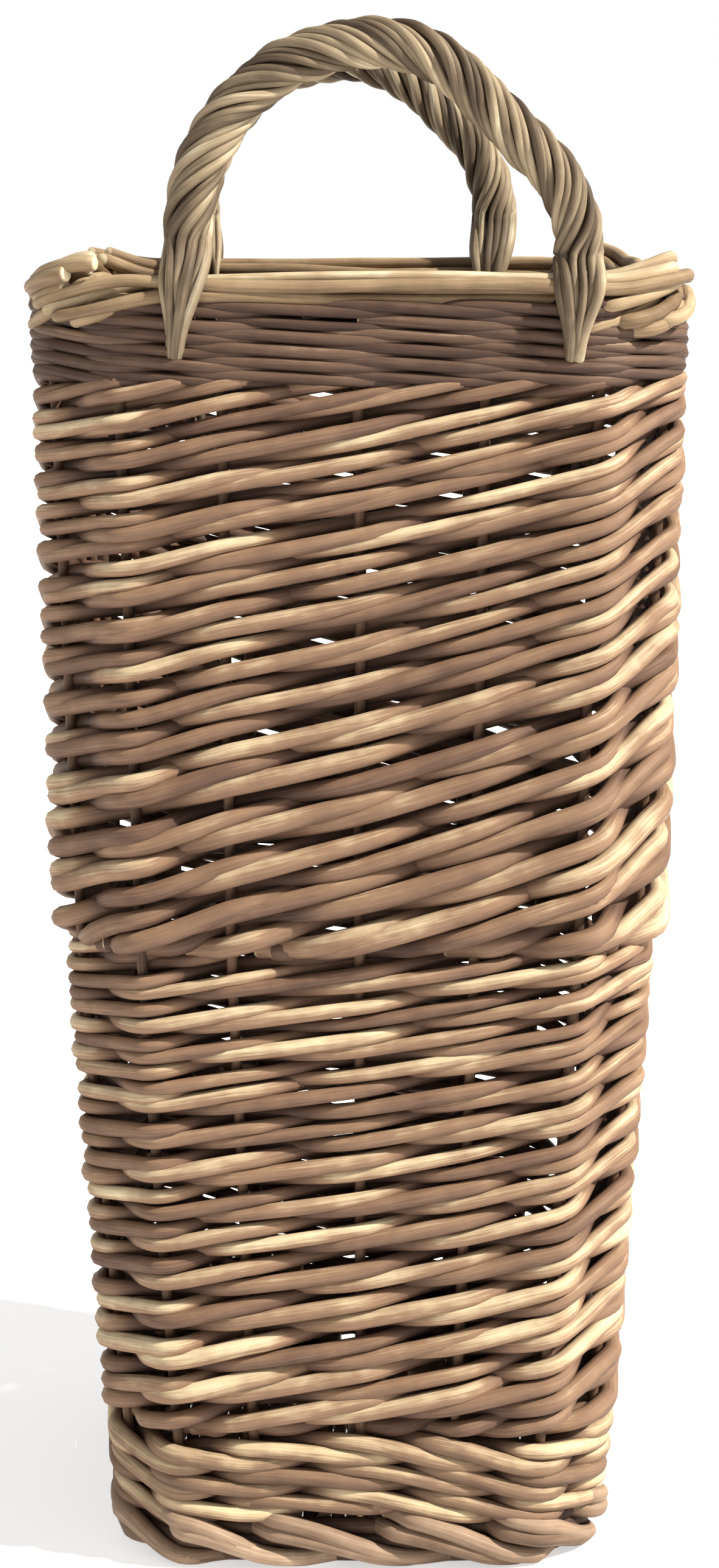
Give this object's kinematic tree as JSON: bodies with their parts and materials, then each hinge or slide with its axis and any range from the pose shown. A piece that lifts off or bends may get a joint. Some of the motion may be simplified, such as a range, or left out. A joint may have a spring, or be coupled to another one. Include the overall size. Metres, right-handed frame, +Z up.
{
  "type": "wicker log basket",
  "caption": "Tall square wicker log basket that tapers to its foot, with a laid border and rigid rope-wrapped handles on two sides.",
  "frame": {"origin": "on the floor under the middle of the basket", "axes": "+Z up, -Y towards the front side, which carries one of the handles"},
  "size_m": [0.314, 0.3194, 0.7572],
  "materials": {
    "siding_willow": "matte",
    "wale_willow": "matte",
    "stake_willow": "matte",
    "pale_willow": "satin",
    "handle_willow": "matte"
  },
  "bodies": {
    "root": {"foot_front": "pale_willow", "foot_right": "pale_willow", "foot_back": "pale_willow", "foot_left": "pale_willow", "base_sticks": "pale_willow", "base_weave": "siding_willow", "corner_stakes": "stake_willow", "front_stakes": "stake_willow", "right_stakes": "stake_willow", "back_stakes": "stake_willow", "left_stakes": "stake_willow", "bottom_wale": "wale_willow", "lower_siding": "siding_willow", "upper_siding": "siding_willow", "top_wale": "wale_willow", "border_front": "pale_willow", "border_right": "pale_willow", "border_back": "pale_willow", "border_left": "pale_willow", "front_handle_bow": "handle_willow", "front_handle_outer_wrap": "handle_willow", "front_handle_inner_wrap": "handle_willow", "back_handle_bow": "handle_willow", "back_handle_outer_wrap": "handle_willow", "back_handle_inner_wrap": "handle_willow"}
  },
  "joints": []
}
